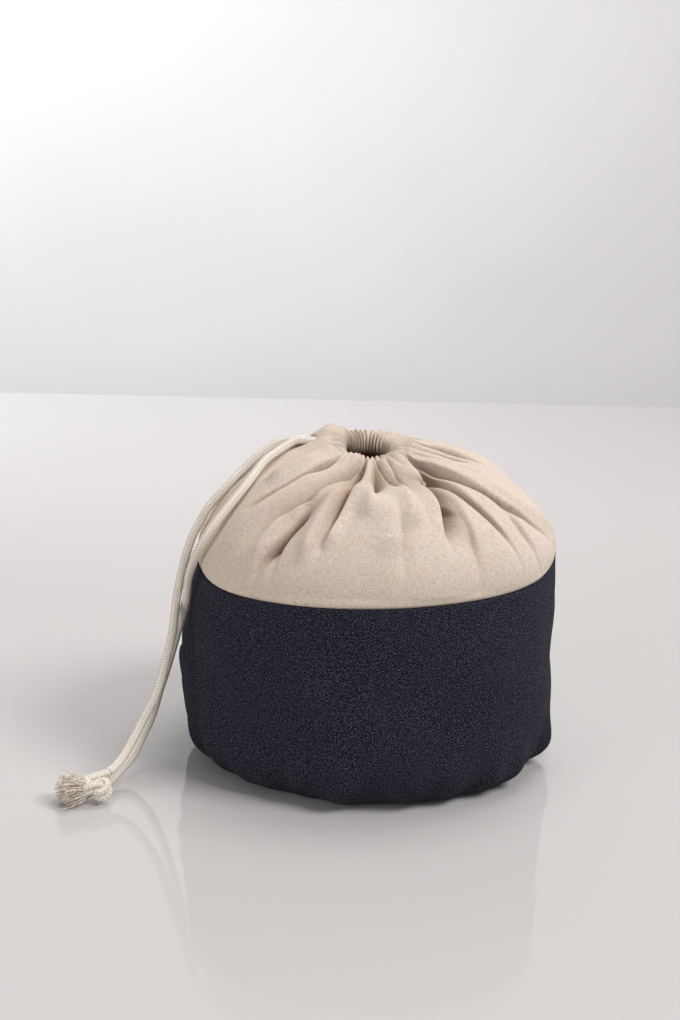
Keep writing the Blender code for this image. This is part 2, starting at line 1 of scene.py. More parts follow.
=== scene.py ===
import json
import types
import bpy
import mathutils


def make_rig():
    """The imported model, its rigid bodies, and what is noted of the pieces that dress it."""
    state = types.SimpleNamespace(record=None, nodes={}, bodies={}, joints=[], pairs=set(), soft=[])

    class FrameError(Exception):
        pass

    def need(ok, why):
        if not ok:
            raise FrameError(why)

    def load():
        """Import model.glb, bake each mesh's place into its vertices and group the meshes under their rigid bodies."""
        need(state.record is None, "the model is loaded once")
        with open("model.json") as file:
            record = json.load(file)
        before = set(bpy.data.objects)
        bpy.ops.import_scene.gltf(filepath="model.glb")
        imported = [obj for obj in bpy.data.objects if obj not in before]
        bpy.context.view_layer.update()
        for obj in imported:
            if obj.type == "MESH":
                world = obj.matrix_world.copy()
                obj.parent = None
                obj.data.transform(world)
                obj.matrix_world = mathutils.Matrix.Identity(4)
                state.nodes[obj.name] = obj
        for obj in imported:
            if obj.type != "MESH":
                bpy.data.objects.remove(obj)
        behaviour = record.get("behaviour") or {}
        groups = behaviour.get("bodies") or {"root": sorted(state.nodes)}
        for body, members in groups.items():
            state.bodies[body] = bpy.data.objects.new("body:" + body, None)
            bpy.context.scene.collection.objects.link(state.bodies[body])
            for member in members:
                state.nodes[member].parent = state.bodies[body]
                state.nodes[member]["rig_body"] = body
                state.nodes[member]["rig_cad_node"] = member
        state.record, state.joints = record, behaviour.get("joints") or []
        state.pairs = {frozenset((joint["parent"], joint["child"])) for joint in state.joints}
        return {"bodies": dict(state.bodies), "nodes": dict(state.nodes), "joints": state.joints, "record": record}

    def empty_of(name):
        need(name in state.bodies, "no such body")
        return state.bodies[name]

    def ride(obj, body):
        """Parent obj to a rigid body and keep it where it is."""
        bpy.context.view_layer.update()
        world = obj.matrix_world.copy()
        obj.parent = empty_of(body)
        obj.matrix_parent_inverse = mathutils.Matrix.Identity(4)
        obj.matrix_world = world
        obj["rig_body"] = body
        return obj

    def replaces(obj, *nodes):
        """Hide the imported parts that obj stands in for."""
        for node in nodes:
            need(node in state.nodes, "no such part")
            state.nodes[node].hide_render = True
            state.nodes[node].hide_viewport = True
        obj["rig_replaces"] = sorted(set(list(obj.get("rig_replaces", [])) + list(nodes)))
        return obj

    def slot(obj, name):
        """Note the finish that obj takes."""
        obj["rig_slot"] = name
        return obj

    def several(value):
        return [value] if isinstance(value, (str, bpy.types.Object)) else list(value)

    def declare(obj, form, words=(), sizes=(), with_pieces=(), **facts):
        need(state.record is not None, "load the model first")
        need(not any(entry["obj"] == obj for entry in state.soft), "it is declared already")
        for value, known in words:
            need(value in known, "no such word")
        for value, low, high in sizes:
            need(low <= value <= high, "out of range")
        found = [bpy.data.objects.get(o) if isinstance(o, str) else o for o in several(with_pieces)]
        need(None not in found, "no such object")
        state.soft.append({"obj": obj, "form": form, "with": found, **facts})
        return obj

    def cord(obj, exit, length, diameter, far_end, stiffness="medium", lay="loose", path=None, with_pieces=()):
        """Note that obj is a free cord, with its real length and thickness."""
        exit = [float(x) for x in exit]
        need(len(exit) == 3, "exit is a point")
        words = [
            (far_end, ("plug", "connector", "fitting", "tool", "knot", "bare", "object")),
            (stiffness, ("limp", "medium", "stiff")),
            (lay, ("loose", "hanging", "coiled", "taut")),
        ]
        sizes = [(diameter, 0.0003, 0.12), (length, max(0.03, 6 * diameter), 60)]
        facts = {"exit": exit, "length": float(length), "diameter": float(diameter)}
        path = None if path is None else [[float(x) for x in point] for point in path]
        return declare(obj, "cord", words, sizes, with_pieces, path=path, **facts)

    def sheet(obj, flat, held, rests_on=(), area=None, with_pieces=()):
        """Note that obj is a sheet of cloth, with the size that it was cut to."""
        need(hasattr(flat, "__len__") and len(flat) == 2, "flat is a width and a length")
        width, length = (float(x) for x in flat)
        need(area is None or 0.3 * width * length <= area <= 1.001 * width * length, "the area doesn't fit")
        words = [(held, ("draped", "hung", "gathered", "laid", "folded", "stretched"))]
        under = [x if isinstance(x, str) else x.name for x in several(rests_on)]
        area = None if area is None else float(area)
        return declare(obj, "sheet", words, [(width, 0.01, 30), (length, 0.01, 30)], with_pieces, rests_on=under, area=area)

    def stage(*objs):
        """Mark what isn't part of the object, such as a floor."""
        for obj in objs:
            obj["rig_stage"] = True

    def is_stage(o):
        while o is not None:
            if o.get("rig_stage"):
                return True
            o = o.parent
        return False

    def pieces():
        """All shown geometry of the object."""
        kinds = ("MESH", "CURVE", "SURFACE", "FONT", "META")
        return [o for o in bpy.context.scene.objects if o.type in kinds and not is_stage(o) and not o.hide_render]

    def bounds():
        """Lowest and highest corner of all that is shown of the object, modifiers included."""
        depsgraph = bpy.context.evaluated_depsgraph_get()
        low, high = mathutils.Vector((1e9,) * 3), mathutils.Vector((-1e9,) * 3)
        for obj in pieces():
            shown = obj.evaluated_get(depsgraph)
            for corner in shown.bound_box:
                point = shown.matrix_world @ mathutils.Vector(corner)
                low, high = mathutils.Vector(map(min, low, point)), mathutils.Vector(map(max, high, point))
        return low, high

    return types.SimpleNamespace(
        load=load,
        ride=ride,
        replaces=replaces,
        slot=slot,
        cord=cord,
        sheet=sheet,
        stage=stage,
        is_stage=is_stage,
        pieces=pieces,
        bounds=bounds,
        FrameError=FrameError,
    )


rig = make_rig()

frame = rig.load()
cad_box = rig.bounds()

import json
import math

import bmesh
import bpy
import numpy as np
from mathutils import Matrix, Vector

# Kinchaku drawstring pouch: a round body of raw denim, a canvas top drawn shut by one cotton cord
# whose two strands run down the left side to a knot on the floor. Metres, +Z up, front towards -Y.

# Sizes that the CAD model also has
GAP = 0.0003
BODY_RADIUS = 0.0960
BODY_BELLY = 0.0009
BODY_HEIGHT = 0.1032
BASE_RADIUS = 0.0760
CORNER_HEIGHT = 0.0230
DENIM_THICKNESS = 0.0012
EDGE_TILT = 0.0043
EDGE_PEAK = 0.0075
EDGE_PEAK_SPREAD = math.radians(22)
EDGE_PEAK_FADE = 0.0260
PRESS_DEPTH = 0.0040
PRESS_ANGLE = math.radians(188)
PRESS_SPREAD = math.radians(26)
PRESS_HEIGHT = 0.1130
PRESS_REACH = 0.0280
CANVAS_THICKNESS = 0.0009
SEAM_CLEARANCE = 0.0005
SEAM_ALLOWANCE = 0.0080
STEP_HEIGHT = 0.0045
SHOULDER_INSET = 0.0009
RIM_HEIGHT = 0.1636
DOME_OUTER_FULLNESS = 1.80
DOME_TOP_FULLNESS = 1.75
CORD_DIAMETER = 0.0045
RING_RADIUS = 0.0165
CASING_RADIUS = 0.0046
CASING_INNER = 0.0033  # the casing lies this close inside the ring
CASING_DEPTH = 0.0100
HEM_CLEARANCE = 0.0027
MOUTH_SHIFT = -0.0040
MOUTH_TILT = 0.0035
FLAP_ANGLE = math.radians(160)
FLAP_SPREAD = math.radians(26)
FLAP_HEIGHT = 0.0060
FLAP_ROOM = 0.0004
HEM_SAG = 0.0009
FLAP_INNER = 0.0190
FLAP_OUTER = 0.0400
EXIT_ANGLE = math.radians(166)
EXIT_RUN = 0.0118
EXIT_HALF_WIDTH = 0.0058
EXIT_HALF_HEIGHT = 0.0029
EXIT_CUT_START = 0.0050
EXIT_CUT_END = 0.0250
JOINT_IN = 0.0080  # the strands go on this far under the casing, so that no joint shows
STRAND_OFFSET = 0.0026
RUN_TURN_IN = math.radians(20)
STRAND_OUT = 0.0096
KNOT_CENTRE = Vector((-0.1300, -0.0895, 0.0076))
KNOT_HEADING = math.radians(198)
KNOT_LENGTH = 0.0190
RING_HEIGHT = RIM_HEIGHT - CASING_RADIUS
SHOULDER_RADIUS = BODY_RADIUS - SHOULDER_INSET
TUCK_RADIUS = BODY_RADIUS - DENIM_THICKNESS - SEAM_CLEARANCE - CANVAS_THICKNESS / 2

OUTER_ROUTE = (
    (-0.0462, 0.0070, 0.1648),
    (-0.0524, 0.0070, 0.1626),
    (-0.0615, 0.0052, 0.1562),
    (-0.0691, 0.0030, 0.1489),
    (-0.0776, -0.0020, 0.1400),
    (-0.0856, -0.0048, 0.1308),
    (-0.0904, -0.0068, 0.1222),
    (-0.0940, -0.0100, 0.1150),
    (-0.0970, -0.0150, 0.1045),
    (-0.0986, -0.0205, 0.0960),
    (-0.0998, -0.0288, 0.0860),
    (-0.1003, -0.0405, 0.0720),
    (-0.1034, -0.0478, 0.0566),
    (-0.1064, -0.0538, 0.0443),
    (-0.1122, -0.0590, 0.0321),
    (-0.1162, -0.0648, 0.0242),
    (-0.1202, -0.0715, 0.0172),
    (-0.1240, -0.0780, 0.0134),
    (-0.1264, -0.0826, 0.0128),
)
INNER_ROUTE = (
    (-0.0460, -0.0012, 0.1638),
    (-0.0515, -0.0062, 0.1606),
    (-0.0575, -0.0130, 0.1566),
    (-0.0660, -0.0265, 0.1462),
    (-0.0764, -0.0350, 0.1333),
    (-0.0825, -0.0385, 0.1250),
    (-0.0868, -0.0390, 0.1175),
    (-0.0905, -0.0370, 0.1090),
    (-0.0933, -0.0330, 0.0990),
    (-0.0948, -0.0288, 0.0860),
    (-0.0978, -0.0270, 0.0743),
    (-0.1036, -0.0282, 0.0520),
    (-0.1076, -0.0330, 0.0383),
    (-0.1104, -0.0398, 0.0271),
    (-0.1148, -0.0470, 0.0173),
    (-0.1180, -0.0540, 0.0108),
    (-0.1222, -0.0620, 0.0066),
    (-0.1250, -0.0690, 0.0052),
    (-0.1262, -0.0755, 0.0052),
    (-0.1272, -0.0815, 0.0060),
)

# Folds of the canvas: the angle near the mouth, half way and at the body in degrees, the radii
# where it begins and ends, its depth and half width in millimetres, and which side hangs over it:
# 1 the side of the larger angle, -1 the other, 0 neither
FOLDS = (
    (-164, -161, -156, 23, 64, 4.6, 2.4, -0.4),
    (-128, -139, -160, 26, 80, 7.6, 2.2, -0.9),
    (-127, -122, -120, 20, 42, 3.4, 2.2, 0.4),
    (-95, -116, -141, 26, 94, 8.0, 2.4, 0.7),
    (-110, -115, -129, 60, 99, 6.0, 2.0, -0.6),
    (-92, -100, -111, 20, 93, 9.5, 2.8, 0.7),
    (-83, -89, -92, 19, 66, 6.5, 2.4, -0.5),
    (-80, -77, -75, 19, 60, 4.4, 2.2, -0.5),
    (-66, -72, -73, 19, 70, 4.0, 2.6, -0.3),
    (-46, -60, -66, 24, 92, 10.5, 3.2, -0.8),
    (-70, -62, -52, 38, 78, 2.4, 2.0, 0.4),
    (-44, -46, -40, 34, 98, 4.6, 1.7, 0.5),
    (-36, -38, -12, 22, 99, 4.4, 1.5, 0.7),
    (-120, -123, -122, 66, 99, 2.0, 3.2, 0.2),
    (-80, -80, -82, 64, 99, 2.0, 4.0, -0.2),
    (-55, -55, -58, 62, 100, 2.6, 4.2, 0.3),
    (-34, -34, -30, 70, 100, 2.0, 3.4, 0.3),
    (-24, -20, -4, 20, 62, 3.2, 2.2, 0.4),
    (-8, -6, 2, 20, 56, 3.2, 2.2, 0.4),
    (11, 13, 15, 22, 84, 6.6, 2.8, 0.5),
    (29, 33, 40, 22, 70, 5.6, 2.4, -0.5),
    (46, 50, 52, 22, 92, 7.6, 3.0, 0.7),
    (64, 67, 68, 20, 56, 4.0, 2.4, -0.4),
    (80, 84, 90, 22, 88, 7.8, 3.0, 0.8),
    (98, 101, 103, 22, 74, 5.8, 2.4, -0.6),
    (114, 119, 127, 22, 94, 7.4, 2.8, 0.8),
    (131, 136, 140, 22, 62, 3.8, 2.4, 0.4),
    (150, 150, 152, 42, 88, 4.8, 2.8, -0.6),
)
# Swellings between the folds, that end in round puffs: the same three angles, the radii where each
# begins and ends, its height and half width in millimetres
SWELLINGS = (
    (-138, -150, -166, 26, 62, 1.8, 4.0),
    (-120, -130, -149, 40, 96, 2.0, 4.6),
    (-104, -119, -131, 56, 95, 2.0, 3.6),
    (-102, -108, -114, 48, 92, 2.0, 4.0),
    (-96, -103, -107, 38, 87, 2.4, 4.4),
    (-89, -92, -91, 44, 76, 1.8, 5.0),
    (-86, -84, -86, 58, 90, 1.4, 7.0),
    (-62, -73, -78, 36, 80, 2.0, 5.5),
    (-56, -56, -56, 40, 88, 1.4, 5.0),
    (-36, -33, -2, 28, 96, 1.4, 9.0),
    (22, 24, 27, 28, 90, 1.1, 7.0),
    (60, 64, 70, 30, 88, 1.1, 7.0),
    (106, 110, 115, 30, 90, 1.1, 7.0),
)
SWELL_FACTOR = 1.9  # how much higher than in its row a swelling is drawn
SWELL_START = 0.014  # the lengths over which it rises and ends
SWELL_STOP = 0.008

FOLD_FACTOR = 1.6  # how much deeper than in its row a fold is drawn
FOLD_LEAD = 0.004  # a fold starts this far before its first radius
FOLD_START = 0.007  # the least and the added length over which it sinks to its depth
FOLD_START_MORE = 0.010
FOLD_STOP = 0.42  # the share of its length over which it ends
FOLD_MOUTH = 0.50  # its share of depth near the mouth, and where that ends
FOLD_MOUTH_REACH = (0.022, 0.048)
FOLD_NARROW = 0.42  # its share of width near the mouth, and where that ends
FOLD_NARROW_REACH = (0.018, 0.050)
FOLD_SHARPNESS = 1.35
LOBE_SHARE = 0.26  # the share of a fold's depth that is a broad hollow between round lobes
LOBE_WIDTH = 3.2
LOBE_RISE = 0.0024
LOBE_END = 0.0900
OVERHANG = 1.20  # how far a fold's lip hangs over, in half widths
LIP_RISE = 0.20  # and how far it stands up, as a share of the depth
LIP_PLACE = 1.25  # the lip's place beside the fold and its spread, in half widths
LIP_SPREAD = 0.85

# Unevenness of the denim body
WAVE_DEPTH = 0.0011
FINE_DEPTH = 0.0008
SEAM_RIDGE = 0.0009
TUCK_DEPTH = 0.0020
DIMPLE_ANGLE = math.radians(-110)
DIMPLE_DEPTH = 0.0040
PUCKER_DEPTH = 0.0013
PUCKER_PITCH = 0.0036
SEAM_GROOVE_WIDTH = 0.0012
DENIM_GROOVE = 0.0013
CANVAS_GROOVE = 0.0009

# Small pleats of the drawn casing
PLEATS = 44
PLEAT_DEPTH = 0.0013
PLEAT_REACH = 0.0370
VALLEY_DEPTH = -0.0007  # the pleats' valleys stay this shallow, clear of the cord
CORD_CLEAR = 0.0015  # from the ring, where the folds start and where they are free of the cord
FOLDS_FREE = 0.0065

# Fineness
CANVAS_COLUMNS = 320
DENIM_COLUMNS = 260
TUCK_ROWS = 6
DOME_ROWS = 100
CASING_ROWS = 26
HEM_ROWS = 10
CORNER_ROWS = 26
WALL_ROWS = 54
CORD_SIDES = 20
STITCH_LENGTH = 0.00140  # one stitch of the cord's braid
BRAID_STARTS = 3  # slanting stitches side by side round the cord
YARNS = 300  # in the frayed ends
YARN_RADIUS = 0.00026


def smooth_step(low, high, value):
    share = np.clip((value - low) / (high - low), 0.0, 1.0)
    return share * share * (3.0 - 2.0 * share)


def turn_between(angle, other):
    return (angle - other + math.pi) % (2.0 * math.pi) - math.pi


def bell(distance, spread):
    return np.exp(-((distance / spread) ** 2))


def uneven(angle, height, seed):
    """Slow, smooth unevenness between about -1 and 1."""
    total = 0.0
    for step, (around, up) in enumerate(((3, 31), (5, -47), (8, 73), (13, 59), (21, -101))):
        phase = seed * (1.7 + step) + 2.1 * step * step
        total = total + np.sin(around * angle + up * height + phase) / (1.0 + 0.45 * step)
    return total / 2.2


# How the gathered cloth lies


def edge_peak(angle):
    """Rise of the denim's top edge towards the side seams."""
    return EDGE_PEAK * sum(bell(turn_between(angle, side), EDGE_PEAK_SPREAD) for side in (0, math.pi))


def edge_rise(angle):
    return EDGE_TILT * np.cos(angle) + edge_peak(angle)


def pressed(angle, height):
    """How far the drawstring presses the cloth in."""
    across = bell(turn_between(angle, PRESS_ANGLE), PRESS_SPREAD)
    return PRESS_DEPTH * across * bell(height - PRESS_HEIGHT, PRESS_REACH)


def flap(angle, radius):
    """Lift of the casing beside the exit."""
    reach = 1.0 - smooth_step(FLAP_INNER, FLAP_OUTER, radius)
    return np.exp(-(np.abs(turn_between(angle, FLAP_ANGLE) / FLAP_SPREAD) ** 3.2)) * reach


def place_top(angle, radius, height, room=0.0):
    """A point of the drawn top, given as if the mouth were round, level and central."""
    follow = 1.0 - smooth_step(RING_RADIUS, BODY_RADIUS, radius)
    radius = radius - pressed(angle, height) * (1.0 - follow)
    lift = (FLAP_HEIGHT + room) * flap(angle, radius)
    lift = lift + MOUTH_TILT * np.sin(angle) * follow
    lift = lift + EDGE_TILT * np.cos(angle) * (1.0 - follow)
    fade = 1.0 - smooth_step(BODY_HEIGHT, BODY_HEIGHT + EDGE_PEAK_FADE, height)
    lift = lift + edge_peak(angle) * fade
    across = radius * np.cos(angle) + MOUTH_SHIFT * follow
    return np.stack(np.broadcast_arrays(across, radius * np.sin(angle), height + lift), axis=-1)


def fold_angle(fold, radius):
    """The fold's direction at this radius, on a curve through its three angles."""
    near, middle, far = (math.radians(value) for value in fold[:3])
    share = (radius - RING_RADIUS) / (BODY_RADIUS - RING_RADIUS)
    return (
        near * (1 - share) * (1 - 2 * share)
        + 4 * middle * share * (1 - share)
        + far * share * (2 * share - 1)
    )


def swellings(angle, radius):
    """How far the cloth bulges between its folds."""
    rise = 0.0
    for row in SWELLINGS:
        begin, end, height, half_width = (value / 1000 for value in row[3:])
        across = radius * turn_between(angle, fold_angle(row, radius))
        fade = smooth_step(begin, begin + SWELL_START, radius)
        fade = fade * (1.0 - smooth_step(end - SWELL_STOP, end, radius))
        rise = rise + SWELL_FACTOR * height * fade * bell(across, half_width)
    return rise


def fold_strength(fold, radius):
    """The share of its depth that a fold has at this radius."""
    begin, end = fold[3] / 1000, fold[4] / 1000
    start = FOLD_START + min(FOLD_START_MORE, 0.6 * max(0.0, begin - 0.026))
    strength = smooth_step(begin - FOLD_LEAD, begin + start, radius)
    strength = strength * (FOLD_MOUTH + (1 - FOLD_MOUTH) * smooth_step(*FOLD_MOUTH_REACH, radius))
    stop = end - FOLD_STOP * (end - begin)
    return FOLD_FACTOR * strength * (1.0 - smooth_step(stop, end, radius))


def folds(angle, radius):
    """How far the folds sink the cloth, and how far they pull it round the pouch."""
    sink = 0.0
    pull = 0.0
    for fold in FOLDS:
        depth, half_width, side = fold[5] / 1000, fold[6] / 1000, fold[7]
        widening = (1 - FOLD_NARROW) * smooth_step(*FOLD_NARROW_REACH, radius)
        half_width = half_width * (FOLD_NARROW + widening)
        strength = fold_strength(fold, radius)
        across = radius * turn_between(angle, fold_angle(fold, radius)) / half_width
        across = across * (1.0 if side >= 0 else -1.0)
        side = abs(side)
        slope = np.where(across > 0, 1.0 - 0.45 * side, 1.0 + 1.1 * side)
        sharp = np.exp(-(np.abs(across / slope) ** FOLD_SHARPNESS))
        broad = bell(across, LOBE_WIDTH)
        lip = bell(across - LIP_PLACE, LIP_SPREAD) * strength * side
        sink = sink + depth * strength * ((1 - LOBE_SHARE) * sharp + LOBE_SHARE * broad)
        sink = sink - LIP_RISE * depth * lip
        towards = -1.0 if fold[7] >= 0 else 1.0
        pull = pull + towards * OVERHANG * half_width * lip
    return sink, pull


def pleats(angle):
    """Small pleats of the drawn casing: round backs with sharp valleys between them."""
    drift = 1.3 * np.sin(3 * angle + 0.6) + 0.9 * np.sin(5 * angle + 2.1)
    turn = (PLEATS * angle + drift) / 2
    size = 1.0 + 0.28 * np.sin(6 * angle + 0.4) + 0.22 * np.sin(10 * angle + 1.9)
    return size * (2.0 * np.abs(np.cos(turn)) ** 0.75 - 0.75)


def gathers(angle, radius):
    """How far the cloth stands out of its smooth dome, and how far it is pulled round."""
    reach = PLEAT_REACH * (1.0 + 0.30 * np.sin(7 * angle + 1.3) + 0.20 * np.sin(11 * angle))
    fade = 1.0 - smooth_step(RING_RADIUS, reach, radius)
    clear_of_cord = smooth_step(RING_RADIUS + CORD_CLEAR, RING_RADIUS + FOLDS_FREE, radius)
    rise = LOBE_RISE * (1.0 - smooth_step(PLEAT_REACH, LOBE_END, radius))
    rise = rise + swellings(angle, radius)
    sink, pull = folds(angle, radius)
    calm = 1.0 - 0.75 * bell(turn_between(angle, FLAP_ANGLE), FLAP_SPREAD)
    folded = np.maximum(PLEAT_DEPTH * pleats(angle), VALLEY_DEPTH) * fade * calm
    stand = folded + clear_of_cord * (rise - sink)
    return stand, clear_of_cord * pull


def fold_angles(front, columns, radii):
    """Angles of a half's columns in each row, closer together along the folds."""
    fine = half_angles(front, 3000)[0]
    rows = []
    for radius in np.maximum(radii, RING_RADIUS):
        weight = np.ones(len(fine))
        for fold in FOLDS:
            across = radius * turn_between(fine, fold_angle(fold, radius)) * 1000 / fold[6]
            near = smooth_step(fold[3] - 12, fold[3] + 4, 1000 * radius)
            near = near * (1.0 - smooth_step(fold[4] - 4, fold[4] + 16, 1000 * radius))
            weight += 2.2 * near * bell(across, 1.9)
        total = np.concatenate(([0.0], np.cumsum((weight[1:] + weight[:-1]) / 2)))
        rows.append(np.interp(np.linspace(0.0, total[-1], columns + 1), total, fine))
    return np.array(rows)


def with_normals(points):
    """Section points with the unit vector on their right-hand side, seen along the section."""
    points = np.array(points)
    run = np.gradient(points, axis=0)
    run /= np.linalg.norm(run, axis=1)[:, None]
    return np.column_stack((points, run[:, 1], -run[:, 0]))


def denim_section():
    """Outer face of the wall, from the base seam up to the top edge."""
    widest = BODY_RADIUS + BODY_BELLY
    turn = np.linspace(0.0, math.pi / 2, CORNER_ROWS + 1)
    radius = BASE_RADIUS + (widest - BASE_RADIUS) * np.sin(turn)
    corner = np.column_stack((radius, CORNER_HEIGHT * (1 - np.cos(turn))))
    share = np.linspace(0.0, 1.0, WALL_ROWS + 1)[1:]
    height = CORNER_HEIGHT + (BODY_HEIGHT - CORNER_HEIGHT) * share
    wall = np.column_stack((widest - BODY_BELLY * share**2, height))
    return with_normals(np.vstack((corner, wall)))


def dome_height(radius):
    """Height of the smooth dome at this radius."""
    shoulder = BODY_HEIGHT + STEP_HEIGHT
    across = (radius - RING_RADIUS) / (SHOULDER_RADIUS - RING_RADIUS)
    up = (1 - across**DOME_OUTER_FULLNESS) ** (1 / DOME_TOP_FULLNESS)
    return shoulder + (RIM_HEIGHT - shoulder) * up


def canvas_section():
    """Middle of the canvas: tuck, shoulder, dome, casing and hem, with the share of the gathers."""
    shoulder = BODY_HEIGHT + STEP_HEIGHT
    height = np.linspace(BODY_HEIGHT - SEAM_ALLOWANCE, BODY_HEIGHT, TUCK_ROWS)
    tuck = np.column_stack((np.full(TUCK_ROWS, TUCK_RADIUS), height))
    share = np.linspace(0.0, 1.0, TUCK_ROWS + 1)[1:-1]
    swell = TUCK_RADIUS + (SHOULDER_RADIUS - TUCK_RADIUS) * smooth_step(0, 0.6, share)
    step = np.column_stack((swell, BODY_HEIGHT + STEP_HEIGHT * share**2))
    turn = np.linspace(0.0, math.pi / 2, DOME_ROWS + 1)
    radius = RING_RADIUS + (SHOULDER_RADIUS - RING_RADIUS) * np.cos(turn) ** (2 / DOME_OUTER_FULLNESS)
    up = np.sin(turn) ** (2 / DOME_TOP_FULLNESS)
    dome = np.column_stack((radius, shoulder + (RIM_HEIGHT - shoulder) * up))
    turn = math.pi / 2 + np.linspace(0.0, math.pi, CASING_ROWS + 1)[1:]
    radius = RING_RADIUS + CASING_INNER * np.cos(turn)
    casing = np.column_stack((radius, RING_HEIGHT + CASING_RADIUS * np.sin(turn)))
    share = np.linspace(0.0, 1.0, HEM_ROWS + 1)[1:]
    low = RING_HEIGHT - CASING_RADIUS
    high = dome_height(RING_RADIUS + CASING_DEPTH) - HEM_CLEARANCE
    height = low + (high - low) * smooth_step(0, 1, share)
    hem = np.column_stack((RING_RADIUS + CASING_DEPTH * share, height))
    weight = np.concatenate(
        (
            np.zeros(len(tuck) + len(step)),
            np.ones(len(dome)),
            1.0 - smooth_step(0.5, 1.0, np.arange(1, CASING_ROWS + 1) / CASING_ROWS),
            -smooth_step(0, 1, share),
        )
    )
    return np.column_stack((with_normals(np.vstack((tuck, step, dome, casing, hem))), weight))


def along(points):
    """Running length of a section."""
    steps = np.linalg.norm(np.diff(points[:, :2], axis=0), axis=1)
    return np.concatenate(([0.0], np.cumsum(steps)))


def denim_points(angle, section):
    """The denim wall's outer face at these angles."""
    radius, height = (section[:, None, i] for i in range(2))
    share = height / BODY_HEIGHT
    waist = np.sin(math.pi * share) ** 2
    wave = WAVE_DEPTH * (np.sin(5 * angle + 9 * share) + np.sin(3 * angle - 4 * share))
    ridge = sum(bell(turn_between(angle, seam), math.radians(7)) for seam in (0, math.pi))
    foot = bell(height - 0.010, 0.013) * np.minimum(1.0, height / 0.002)
    tucks = np.sin(17 * angle + 2.2 * np.sin(5 * angle) + 0.6) + 0.6 * np.sin(29 * angle + 1.0)
    tucks = tucks * (1.0 + 0.45 * np.sin(4 * angle + 2.6))
    fine = FINE_DEPTH * uneven(angle, height, 1.0) * np.minimum(1.0, height / 0.01)
    radius = radius + waist * (wave + SEAM_RIDGE * ridge) + TUCK_DEPTH * tucks * foot + fine
    # one deeper dimple at the front of the base seam
    dimple = bell(turn_between(angle, DIMPLE_ANGLE), math.radians(3.5))
    radius = radius - DIMPLE_DEPTH * dimple * bell(height - 0.0075, 0.0050)
    # small puckers that fan out from each side seam
    for seam in (0, math.pi):
        away = np.abs(turn_between(angle, seam))
        fan = np.sin(height / PUCKER_PITCH + 2.4 * np.sin(height / 0.017 + seam) + 22 * away)
        radius = radius + PUCKER_DEPTH * fan * bell(away, math.radians(10)) * waist
        radius = radius - DENIM_GROOVE * bell(away * BODY_RADIUS, SEAM_GROOVE_WIDTH) * waist
    radius = radius - pressed(angle, height)
    rise = edge_rise(angle) / BODY_HEIGHT * smooth_step(0, BODY_HEIGHT, height)
    height = height * (1.0 + rise)
    return np.stack(
        np.broadcast_arrays(radius * np.cos(angle), radius * np.sin(angle), height), axis=-1
    )


def canvas_points(angle, section):
    """The canvas's outer face at these angles."""
    radius, height, out, up, weight = (section[:, None, i] for i in range(5))
    stand, pull = gathers(angle, np.maximum(radius, RING_RADIUS))
    offset = weight * stand + CANVAS_THICKNESS / 2
    dome = np.clip(weight, 0.0, 1.0) * (radius > RING_RADIUS)
    low = smooth_step(0.045, 0.075, radius) * dome
    offset = offset + (0.0005 + 0.0008 * low) * uneven(angle, height, 4.0) * dome
    for seam in (0, math.pi):
        away = np.abs(turn_between(angle, seam)) * radius
        offset = offset - CANVAS_GROOVE * bell(away, SEAM_GROOVE_WIDTH) * dome
    angle = angle + dome * pull / np.maximum(radius, RING_RADIUS)
    room = np.where(height > RING_HEIGHT, FLAP_ROOM, -HEM_SAG)
    return place_top(angle, radius + offset * out, height + offset * up, room)


def cloth(name, points, uv, sink=None, closed=False, slotted=False):
    """One sheet of cloth on a grid of points, seen from its outer side. sink is how deep each point
    lies in a fold, closed joins the sheet's two sides into a tube, and slotted leaves out the slot
    for the cord."""
    rows, columns = points.shape[0] - 1, points.shape[1] - 1
    bm = bmesh.new()
    bmesh.ops.create_grid(bm, x_segments=columns, y_segments=rows, size=0.5)
    mesh = bpy.data.meshes.new(name)
    bm.to_mesh(mesh)
    flat = np.empty(len(mesh.vertices) * 3)
    mesh.vertices.foreach_get("co", flat)
    place = np.rint((flat.reshape(-1, 3)[:, :2] + 0.5) * (columns, rows)).astype(int)
    spots = points[place[:, 1], place[:, 0]]
    drop = []
    if slotted:
        share = slot_share(spots)
        rim = (share > 0.82) & (share < 1.0)
        centre = np.array(exit_frame()) * (0, 1, 1)
        spots[rim] += (spots[rim] - centre) * (0, 1, 1) * (1 / share[rim, None] - 1)
        drop = np.flatnonzero(share <= 0.82)
    mesh.vertices.foreach_set("co", spots.ravel())
    corner = np.empty(len(mesh.loops), int)
    mesh.loops.foreach_get("vertex_index", corner)
    layer = mesh.uv_layers.new(name="Cloth")
    layer.uv.foreach_set("vector", uv[place[:, 1], place[:, 0]][corner].ravel())
    # Sink, how deep each point lies in a fold, drives the canvas's painted fold shade
    if sink is not None:
        deep = mesh.attributes.new("Sink", "FLOAT", "POINT")
        deep.data.foreach_set("value", sink[place[:, 1], place[:, 0]].astype(np.float32))
    if closed or slotted:
        bm.clear()
        bm.from_mesh(mesh)
        bm.verts.ensure_lookup_table()
        bmesh.ops.delete(bm, geom=[bm.verts[i] for i in drop], context="VERTS")
        if closed:
            bmesh.ops.remove_doubles(bm, verts=bm.verts, dist=0.000001)
            bmesh.ops.recalc_face_normals(bm, faces=bm.faces)
        bm.to_mesh(mesh)
    bm.free()
    mesh.shade_smooth()
    return show(name, mesh)


def show(name, data):
    """Puts a mesh or curve into the scene."""
    piece = bpy.data.objects.new(name, data)
    bpy.context.scene.collection.objects.link(piece)
    return piece


def thicken(piece, thickness):
    wall = piece.modifiers.new("Thickness", "SOLIDIFY")
    wall.thickness = thickness
    wall.offset = -1.0
    wall.use_even_offset = False


